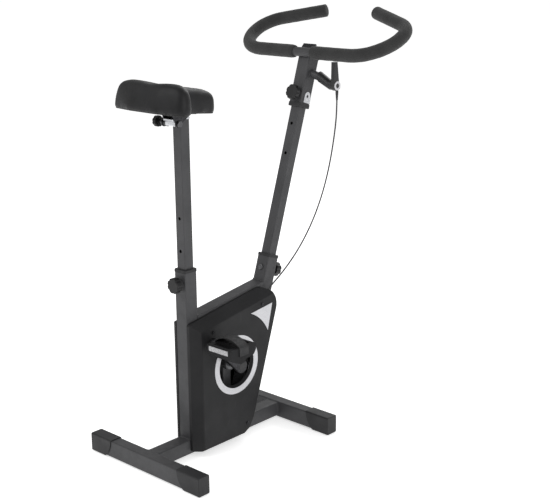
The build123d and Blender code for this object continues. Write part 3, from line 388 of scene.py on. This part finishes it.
def make_finishes():
    """One material for each slot of the record."""
    return {
        "frame_paint": powder_coat(),
        "cover_plastic": moulded(
            "cover_plastic", low=(0.0130, 0.0130, 0.0138), high=(0.0175, 0.0175, 0.0185),
            rough_low=0.44, rough_high=0.58, grain=900.0, depth=0.00014, gloss=0.18,
        ),
        "cap_plastic": moulded(
            "cap_plastic", low=(0.017, 0.017, 0.018), high=(0.024, 0.024, 0.0255),
            rough_low=0.46, rough_high=0.60, grain=1100.0, depth=0.00010, gloss=0.3,
        ),
        "trim_silver": silver_trim(),
        "fixings": plated(
            "fixings", low=(0.09, 0.09, 0.095), high=(0.15, 0.15, 0.155), rough_low=0.34, rough_high=0.50
        ),
        "zinc_plate": plated(
            "zinc_plate", low=(0.48, 0.49, 0.51), high=(0.66, 0.67, 0.69), rough_low=0.28, rough_high=0.44
        ),
        "black_steel": plated(
            "black_steel", low=(0.030, 0.030, 0.032), high=(0.060, 0.060, 0.064),
            rough_low=0.34, rough_high=0.50,
        ),
        "axle_steel": turned_steel(),
        "pulley_plastic": moulded(
            "pulley_plastic", low=(0.020, 0.020, 0.021), high=(0.029, 0.029, 0.030),
            rough_low=0.44, rough_high=0.58, grain=700.0, depth=0.00010, gloss=0.3,
        ),
        "flywheel_iron": cast_iron(low=(0.17, 0.17, 0.175), high=(0.27, 0.27, 0.275)),
        "belt_rubber": belt_rubber(),
        "brake_felt": brake_felt(),
        "pedal_plastic": moulded(
            "pedal_plastic", low=(0.009, 0.009, 0.0095), high=(0.014, 0.014, 0.015),
            rough_low=0.46, rough_high=0.60, grain=650.0, depth=0.00016, gloss=0.12,
        ),
        "strap_rubber": strap_rubber(),
        "reflector_strip": reflector(),
        "seat_vinyl": seat_vinyl(),
        "seat_base": moulded(
            "seat_base", low=(0.012, 0.012, 0.012), high=(0.020, 0.020, 0.020),
            rough_low=0.50, rough_high=0.66, grain=500.0, depth=0.00012,
        ),
        "grip_foam": grip_foam(),
        "knob_plastic": moulded(
            "knob_plastic", low=(0.008, 0.008, 0.0085), high=(0.012, 0.012, 0.0125),
            rough_low=0.36, rough_high=0.50, grain=1200.0, depth=0.00006, gloss=0.3,
        ),
        "lever_plastic": moulded(
            "lever_plastic", low=(0.012, 0.012, 0.013), high=(0.018, 0.018, 0.019),
            rough_low=0.34, rough_high=0.48, grain=1000.0, depth=0.00008, gloss=0.45,
        ),
        "cable_casing": cable_casing(),
    }


# ---------------------------------------------------------------- mesh helpers
def new_piece(name, points, faces, material_slot):
    mesh = bpy.data.meshes.new(name)
    mesh.from_pydata(points, [], faces)
    mesh.validate()
    mesh.materials.append(finishes[material_slot])
    piece = bpy.data.objects.new(name, mesh)
    scene.collection.objects.link(piece)
    mesh.shade_smooth()
    return piece


def copy_of(node, name, material_slot):
    """A separate copy of a CAD node's mesh, to be reworked."""
    piece = bpy.data.objects.new(name, nodes[node].data.copy())
    piece.data.name = name
    piece.data.materials.clear()
    piece.data.materials.append(finishes[material_slot])
    scene.collection.objects.link(piece)
    return piece


def applied(piece):
    """Makes the piece's modifiers part of its mesh."""
    bpy.context.view_layer.update()
    graph = bpy.context.evaluated_depsgraph_get()
    done = bpy.data.meshes.new_from_object(piece.evaluated_get(graph))
    piece.modifiers.clear()
    piece.data = done
    return piece


def remeshed(piece, voxel):
    step = piece.modifiers.new("remesh", "REMESH")
    step.mode = "VOXEL"
    step.voxel_size = voxel
    step.use_smooth_shade = True
    return applied(piece)


def smoothed(piece, rounds):
    step = piece.modifiers.new("smooth", "SMOOTH")
    step.factor = 0.5
    step.iterations = rounds
    return applied(piece)


def subdivided(piece):
    step = piece.modifiers.new("subdivide", "SUBSURF")
    step.levels = 1
    step.render_levels = 1
    applied(piece)
    piece.data.shade_smooth()
    return piece


def tube_rings(line, radius_at, sides, closed=False):
    """Points and faces of a tube along a line of points; radius_at gives the radius at each index."""
    count = len(line)
    points = []
    side = None
    for index, place in enumerate(line):
        before = line[index - 1] if closed or index > 0 else place
        after = line[(index + 1) % count] if closed or index < count - 1 else place
        direction = (after - before).normalized()
        if side is None:
            side = direction.orthogonal().normalized()
        side = (side - direction * side.dot(direction)).normalized()
        across = direction.cross(side)
        radius = radius_at(index)
        for turn in range(sides):
            angle = tau * turn / sides
            points.append(place + (side * cos(angle) + across * sin(angle)) * radius)
    faces = []
    for ring in range(count if closed else count - 1):
        following = (ring + 1) % count
        for turn in range(sides):
            other = (turn + 1) % sides
            near, far = ring * sides, following * sides
            faces.append((near + turn, near + other, far + other, far + turn))
    if not closed:
        faces.append(tuple(reversed(range(sides))))
        faces.append(tuple((count - 1) * sides + turn for turn in range(sides)))
    return points, faces


def spline_line(points):
    """The points of the smooth NURBS curve that has the route's points as its control points."""
    curve = bpy.data.curves.new("route", "CURVE")
    curve.dimensions = "3D"
    curve.resolution_u = 10
    spline = curve.splines.new("NURBS")
    spline.points.add(len(points) - 1)
    for control, place in zip(spline.points, points):
        control.co = (*place, 1.0)
    spline.order_u = 3
    spline.use_endpoint_u = True
    holder = bpy.data.objects.new("route", curve)
    scene.collection.objects.link(holder)
    bpy.context.view_layer.update()
    mesh = bpy.data.meshes.new_from_object(holder)
    line = [vertex.co.copy() for vertex in mesh.vertices]
    bpy.data.objects.remove(holder)
    bpy.data.curves.remove(curve)
    bpy.data.meshes.remove(mesh)
    return line


# ---------------------------------------------------------------- brake cable
def make_cable():
    """Brake cable from the tension lever, down beside the stem and in behind the right cover."""
    barrel_x = 0.2408
    barrel_y = -0.088
    barrel_end = 0.911
    route = [
        (barrel_x, barrel_y, barrel_end),
        (barrel_x, barrel_y, 0.863),
        (0.2403, -0.0828, 0.8131),
        (0.2366, -0.0774, 0.7644),
        (0.2299, -0.0723, 0.7161),
        (0.2197, -0.0671, 0.6684),
        (0.2055, -0.0617, 0.6218),
        (0.1868, -0.0562, 0.5768),
        (0.1634, -0.0506, 0.5341),
        (0.1353, -0.0450, 0.4944),
        (0.1026, -0.0396, 0.4583),
        (0.0659, -0.0344, 0.4262),
        (0.0260, -0.0295, 0.3982),
        (-0.0020, -0.0295, 0.3600),
        (-0.0200, -0.0300, 0.3160),
        (-0.0330, -0.0305, 0.2700),
    ]
    casing_radius = 0.002
    line = spline_line(route)
    points, faces = tube_rings(line, lambda index: casing_radius, 12)
    casing = new_piece("brake_cable", points, faces, "cable_casing")
    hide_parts("tension_cable")
    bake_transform(casing)

    # Soft ribbed boot where the casing leaves the lever's barrel.
    top = Vector(route[0])
    overlap = 0.001  # how far the boot reaches up over the barrel
    ring_step = 0.0011
    boot_line = [top + Vector((0, 0, overlap - ring_step * step)) for step in range(20)]
    boot_top = 0.0039
    boot_taper = 0.00008
    boot_ridge = 0.0004

    def boot_radius(index):
        ridge = boot_ridge if index % 4 in (1, 2) else 0.0
        return boot_top - boot_taper * index + ridge

    points, faces = tube_rings(boot_line, boot_radius, 20)
    boot = new_piece("cable_boot", points, faces, "lever_plastic")
    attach(boot, "handlebar_stem")

    # The bare inner wire runs on from the cable stop to the brake arm.
    hook = Vector((-0.076, -0.0355, 0.163))
    stop_end = 0.003  # from the casing's end to the far face of its stop
    start = Vector(route[-1]) + (Vector(route[-1]) - Vector(route[-2])).normalized() * stop_end
    wire_line = [start.lerp(hook, share / 24) for share in range(25)]
    wire_radius = 0.0008
    points, faces = tube_rings(wire_line, lambda index: wire_radius, 8)
    wire = new_piece("brake_wire", points, faces, "zinc_plate")
    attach(wire, "frame")


# ---------------------------------------------------------------- saddle
def clamped(share):
    return min(1.0, max(0.0, share))


def make_saddle():
    """Vinyl saddle over foam: swollen by a cloth simulation, with a valley between its rear lobes."""
    keep_width, keep_height = 0.995, 0.975  # leaves room for the swelling
    voxel = 0.005
    smoothing_rounds = 28
    top_start, top_rise = 0.022, 0.040  # the top's shape fades in over these heights
    waist, waist_blend = 0.60, 0.09  # where the rear lobes end, as a share of the length
    valley_depth, valley_width = 0.0050, 0.030
    valley_start, valley_run = 0.05, 0.14
    nose_valley = 0.25
    lobe_height, lobe_middle, lobe_width = 0.0020, 0.072, 0.030
    nose_start, nose_run = 0.72, 0.28
    nose_drop, nose_cut = 0.009, 0.004
    side_lean = 0.06
    rear_lean, rear_run = 0.006, 0.12
    hem_height, hem_pull = 0.009, 0.0005
    skirt_height, skirt_drop, skirt_limit = 0.030, 0.0085, 0.0060

    low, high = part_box("seat_cushion")
    ahead = Vector((cos(saddle_lean), 0, -sin(saddle_lean)))
    up = Vector((sin(saddle_lean), 0, cos(saddle_lean)))
    base = Vector((high.x - 0.004, 0, low.z))  # a point of the flat underside
    saddle = copy_of("seat_cushion", "saddle", "seat_vinyl")
    middle = (low + high) / 2
    for vertex in saddle.data.vertices:
        offset = vertex.co - middle
        kept = Vector((offset.x * keep_width, offset.y * keep_width, offset.z * keep_height))
        vertex.co = middle + kept
    remeshed(saddle, voxel)
    smoothed(saddle, smoothing_rounds)
    swell(saddle)
    length = high.x - low.x
    normals = [vertex.normal.copy() for vertex in saddle.data.vertices]
    for vertex, normal in zip(saddle.data.vertices, normals):
        local = vertex.co - base
        height = local.dot(up)
        along = (local.dot(ahead) + length) / length  # 0 at the rear, 1 at the nose
        across = vertex.co.y
        top_share = clamped((height - top_start) / top_rise)
        rear_share = 1.0 / (1.0 + exp((along - waist) / waist_blend))
        valley_share = clamped((along - valley_start) / valley_run)
        valley_share *= nose_valley + (1.0 - nose_valley) * rear_share
        valley = valley_depth * exp(-((across / valley_width) ** 2)) * valley_share
        lobe = lobe_height * exp(-(((abs(across) - lobe_middle) / lobe_width) ** 2)) * rear_share
        nose_share = max(0.0, (along - nose_start) / nose_run) ** 2
        vertex.co += up * top_share * (lobe - valley - nose_drop * nose_share)
        vertex.co -= ahead * nose_cut * nose_share
        # The sides and the rear lean in towards the top.
        vertex.co.y -= across * side_lean * top_share**2
        vertex.co += ahead * rear_lean * top_share**2 * max(0.0, 1.0 - along / rear_run)
        # The vinyl is drawn in round the pan and hangs a little over its edge.
        hem = max(0.0, 1.0 - max(0.0, height) / hem_height)
        inward = Vector((middle.x - vertex.co.x, -vertex.co.y, 0)).normalized()
        vertex.co += inward * hem_pull * hem * hem
        sideways = clamped((normal.dot(up) + 0.95) / 0.3)  # 0 on the underside, 1 on the sides
        vertex.co -= up * skirt_drop * sideways * max(0.0, 1.0 - max(0.0, height) / skirt_height)
        lowest = -skirt_limit * sideways
        floor_gap = (vertex.co - base).dot(up)
        if floor_gap < lowest:
            vertex.co += up * (lowest - floor_gap)
    subdivided(saddle)
    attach(saddle, "seat")
    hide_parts("seat_cushion")


def swell(piece):
    """Blows the piece up a little from inside, as foam fills its cover."""
    farthest = 0.0025
    frames = 16
    before = [vertex.co.copy() for vertex in piece.data.vertices]
    cloth = piece.modifiers.new("cloth", "CLOTH")
    cloth.settings.quality = 6
    cloth.settings.use_pressure = True
    cloth.settings.uniform_pressure_force = 2.5
    cloth.settings.tension_stiffness = 30.0
    cloth.settings.compression_stiffness = 30.0
    cloth.settings.bending_stiffness = 4.0
    cloth.settings.effector_weights.gravity = 0.0
    for step in range(1, frames + 1):
        scene.frame_set(step)
    applied(piece)
    scene.frame_set(1)
    for vertex, start in zip(piece.data.vertices, before):
        move = vertex.co - start
        if move.length > farthest:
            vertex.co = start + move * (farthest / move.length)


# ---------------------------------------------------------------- grips
def straight(start, end, step):
    """Evenly spaced points after start, up to and with end."""
    count = max(1, round((end - start).length / step))
    return [start.lerp(end, part / count) for part in range(1, count + 1)]


def filleted(corners, radii, step):
    """Evenly spaced points along straight runs joined by tangent arcs."""
    points = [corners[0]]
    for index, radius in enumerate(radii, start=1):
        into = (corners[index] - corners[index - 1]).normalized()
        out = (corners[index + 1] - corners[index]).normalized()
        turn = into.angle(out)
        start = corners[index] - into * radius * tan(turn / 2)
        inward = (out - into * out.dot(into)).normalized()
        centre = start + inward * radius
        points.extend(straight(points[-1], start, step))
        count = max(2, round(radius * turn / step))
        for part in range(1, count + 1):
            angle = turn * part / count
            points.append(centre - inward * radius * cos(angle) + into * radius * sin(angle))
    points.extend(straight(points[-1], corners[-1], step))
    return points


def make_grips():
    """Foam sleeves on the handlebar, with rounded ends and a slightly uneven skin."""
    bar_middle = Vector((0.2045, 0, 1.018))
    bar_lean = radians(25.3)
    bar_half = 0.257
    bar_reach = 0.150
    tip_forward = 0.074
    tip_inward = 0.166
    tip_cover = 0.004  # foam past the bar's end
    sleeve_start = 0.029
    bar_radius = 0.0126
    sleeve_radius = 0.0179
    rounding = 0.005
    thinner = 0.0015  # the sleeve's first stretch is this much thinner
    thinner_run = 0.012
    tip_opening = 0.25  # radius of the closed end's last ring, as a share
    sides = 40
    lump_scale, lump_height = 55.0, 0.00035
    pore_scale, pore_height = 230.0, 0.00012
    ahead = Vector((cos(bar_lean), 0, sin(bar_lean)))
    left = Vector((0, 1, 0))
    stretch = 1 + tip_cover / (tip_forward**2 + tip_inward**2) ** 0.5
    flat = [
        (0, sleeve_start),
        (0, bar_half),
        (bar_reach, bar_half),
        (bar_reach + tip_forward * stretch, bar_half - tip_inward * stretch),
    ]
    corners = [bar_middle + ahead * forward + left * across for forward, across in flat]
    line = filleted(corners, [0.100, 0.074], 0.002)
    # The end rings lie closer together, so that both ends can be rounded.
    first = [line[0].lerp(line[2], part / 12) for part in range(12)]
    last = [line[-3].lerp(line[-1], part / 12) for part in range(1, 13)]
    line = first + line[2:-2] + last
    reach = [0.0]
    for before, after in zip(line, line[1:]):
        reach.append(reach[-1] + (after - before).length)

    def radius_at(index):
        near = min(1.0, reach[index] / rounding)
        far = min(1.0, (reach[-1] - reach[index]) / rounding)
        opening = bar_radius + (sleeve_radius - thinner - bar_radius) * (1 - (1 - near) ** 2) ** 0.5
        full = opening + thinner * min(1.0, reach[index] / thinner_run)
        return full * max(tip_opening, (1 - (1 - far) ** 2) ** 0.5)

    for name, mirrored in (("grip_left", False), ("grip_right", True)):
        points, faces = tube_rings(line, radius_at, sides)
        if mirrored:
            points = [Vector((place.x, -place.y, place.z)) for place in points]
            faces = [tuple(reversed(face)) for face in faces]
        sleeve = new_piece(name, points, faces, "grip_foam")
        for vertex in sleeve.data.vertices:
            lumps = noise.noise(vertex.co * lump_scale) * lump_height
            lumps += noise.noise(vertex.co * pore_scale) * pore_height
            vertex.co += vertex.normal * lumps
        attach(sleeve, "handlebar_stem")
        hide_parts("grips")


# ---------------------------------------------------------------- weld beads
def bead_along(corners, radius, closed):
    """Points and faces of a rippled weld bead along straight runs between corners."""
    step = 0.0008
    line = []
    runs = list(zip(corners, corners[1:] + corners[:1] if closed else corners[1:]))
    for start, end in runs:
        start = Vector(start)
        end = Vector(end)
        count = max(2, round((end - start).length / step))
        line.extend(start.lerp(end, part / count) for part in range(count))
    if not closed:
        line.append(Vector(corners[-1]))

    pitch = 0.0032  # from one ripple to the next
    ripple_share, wander_share, wander_scale = 0.13, 0.22, 180.0

    def ripple(index):
        wander = noise.noise(line[index] * wander_scale)
        return radius * (1.0 + ripple_share * sin(tau * index * step / pitch) + wander_share * wander)

    return tube_rings(line, ripple, 8, closed)


def ring_corners(centre, one, other, radius):
    """Corner points of a round weld about a centre, in the plane of two directions."""
    count = 28
    turns = [tau * part / count for part in range(count)]
    return [tuple(centre + one * radius * cos(turn) + other * radius * sin(turn)) for turn in turns]


def weld_piece(name, body, beads):
    points, faces = [], []
    for corners, radius, closed in beads:
        more_points, more_faces = bead_along(corners, radius, closed)
        shift = len(points)
        points.extend(more_points)
        faces.extend(tuple(index + shift for index in face) for face in more_faces)
    piece = new_piece(name, points, faces, "frame_paint")
    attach(piece, body)


def make_welds():
    """Fillet welds where the frame's tubes meet, painted over."""
    size = 0.0022
    boss_bead = 0.0012
    stub_bead = 0.0014
    round_weld = 0.0112  # radius of the welds round the pins' bosses and the lever's stub
    half = tube_half
    base_low, base_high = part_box("base_tube")
    post_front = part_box("rear_post")[1].x
    post_rear = post_front - 2 * half
    top_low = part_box("top_tube")[0]
    down_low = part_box("down_tube")[0]
    floor_of_post = base_high.z
    inset = 0.003  # the tubes' rounded corners
    edge = 0.001  # how far a bead's end stays from the edge of its tube

    def frame_loop(x):
        low, high = base_low.z + edge, base_high.z - edge
        return [(x, -half, low), (x, half, low), (x, half, high), (x, -half, high)]

    def foot_line(x):
        return [(x, -half + inset, floor_of_post), (x, half - inset, floor_of_post)]

    top_end_half = half / cos(top_tube_slope)
    top_edge = top_low.z + 2 * top_end_half
    bead_x = post_front + 0.0013  # keeps the bead out of the post's bore
    side_run = 0.008
    top_weld = [
        (bead_x, -half, top_edge - side_run),
        (bead_x, -half + edge, top_edge),
        (bead_x, half - edge, top_edge),
        (bead_x, half, top_edge - side_run),
    ]
    across = Vector((cos(front_lean), 0, -sin(front_lean)))
    lean = Vector((sin(front_lean), 0, cos(front_lean)))
    down_foot = Vector((down_low.x + half / cos(front_lean), 0, floor_of_post))
    foot_half = half / cos(front_lean)
    # The top tube's upper face meets the down tube's rear face here.
    rear_face_foot = down_foot - across * half
    climb = tan(top_tube_slope)
    above_foot = top_edge - rear_face_foot.z + climb * (rear_face_foot.x - post_front)
    rise = above_foot / (lean.z - climb * lean.x)
    meet = rear_face_foot + lean * rise
    left = Vector((0, 1, 0))
    vertical = Vector((0, 0, 1))
    pin_ring = ring_corners(Vector((post_rear, 0, seat_pin_z())), left, vertical, round_weld)
    beads = [
        (frame_loop(base_low.x), size, True),
        (frame_loop(base_high.x), size, True),
        (foot_line(post_rear), size, False),
        (foot_line(post_front), size, False),
        (foot_line(down_foot.x - foot_half), size, False),
        (foot_line(down_foot.x + foot_half), size, False),
        (top_weld, size, False),
        ([(meet.x, -half + edge, meet.z), (meet.x, half - edge, meet.z)], size, False),
        (pin_ring, boss_bead, True),
    ]
    weld_piece("frame_welds", "frame", beads)

    stub_low, stub_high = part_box("lever_mount")
    stub_centre = Vector(((stub_low.x + stub_high.x) / 2, -half, stub_high.z - round_weld))
    stem_beads = [
        (ring_corners(stub_centre, Vector((1, 0, 0)), vertical, round_weld), stub_bead, True),
        (ring_corners(stem_boss_centre(), left, lean, round_weld), boss_bead, True),
    ]
    weld_piece("stem_welds", "handlebar_stem", stem_beads)


def seat_pin_z():
    low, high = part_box("seat_height_knob")
    return (low.z + high.z) / 2


def stem_boss_centre():
    """Where the pin's boss stands on the stem's rear face."""
    low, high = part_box("stem_knob")
    axis = Vector((-cos(front_lean), 0, sin(front_lean)))
    middle = (low + high) / 2
    down_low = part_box("down_tube")[0]
    foot_x = down_low.x + tube_half / cos(front_lean)
    foot = Vector((foot_x, 0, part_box("base_tube")[1].z))
    across = Vector((cos(front_lean), 0, -sin(front_lean)))
    distance = (middle - foot).dot(across) + tube_half
    proud = 0.0002  # lifts the bead off the stem's face
    return middle - across * distance + axis * proud


# ---------------------------------------------------------------- the scene
make_camera()
finishes = make_finishes()
make_studio()
# Pieces that are darker in the photo than the slot they share.
darker = {
    "handlebar_bracket": "black_steel",
    "cover_screws": "black_steel",
    "crank_axle": "fixings",
    "pedal_axles": "fixings",
    "bearings": "fixings",
}
for part in frame["record"]["subparts"]:
    surface = nodes[part["node"]].data.materials
    surface.clear()
    surface.append(finishes[darker.get(part["node"], part["material_slot"])])
make_cable()
make_saddle()
make_grips()
make_welds()
